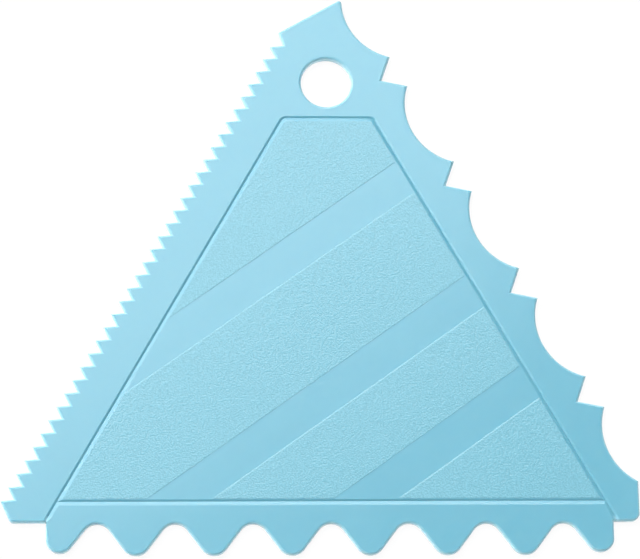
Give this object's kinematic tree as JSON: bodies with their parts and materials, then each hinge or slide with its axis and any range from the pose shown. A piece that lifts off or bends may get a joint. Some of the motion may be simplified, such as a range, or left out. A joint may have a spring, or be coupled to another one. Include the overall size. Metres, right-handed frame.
{
  "type": "dough scraper",
  "caption": "Flat triangular plastic dough and icing scraper with a saw-toothed, a scalloped and a wavy edge, a grained grip panel and a hanging hole.",
  "frame": {"origin": "on the back face, in the middle of the grooved panel", "axes": "+X to the right along the wavy edge, +Y from the wavy edge to the hanging hole, +Z out of the grained face"},
  "size_m": [0.1017, 0.093, 0.0016],
  "materials": {
    "smooth_plastic": "smooth moulded surface, satin gloss, pale turquoise blue",
    "grained_plastic": "fine moulded grain, matte, pale turquoise blue"
  },
  "bodies": {
    "root": {"saw_comb": "smooth_plastic", "scallop_comb": "smooth_plastic", "wave_comb": "smooth_plastic", "hanging_tab": "smooth_plastic", "center_panel": "smooth_plastic", "top_grain_field": "grained_plastic", "upper_grain_field": "grained_plastic", "lower_grain_field": "grained_plastic", "corner_grain_field": "grained_plastic"}
  },
  "joints": []
}
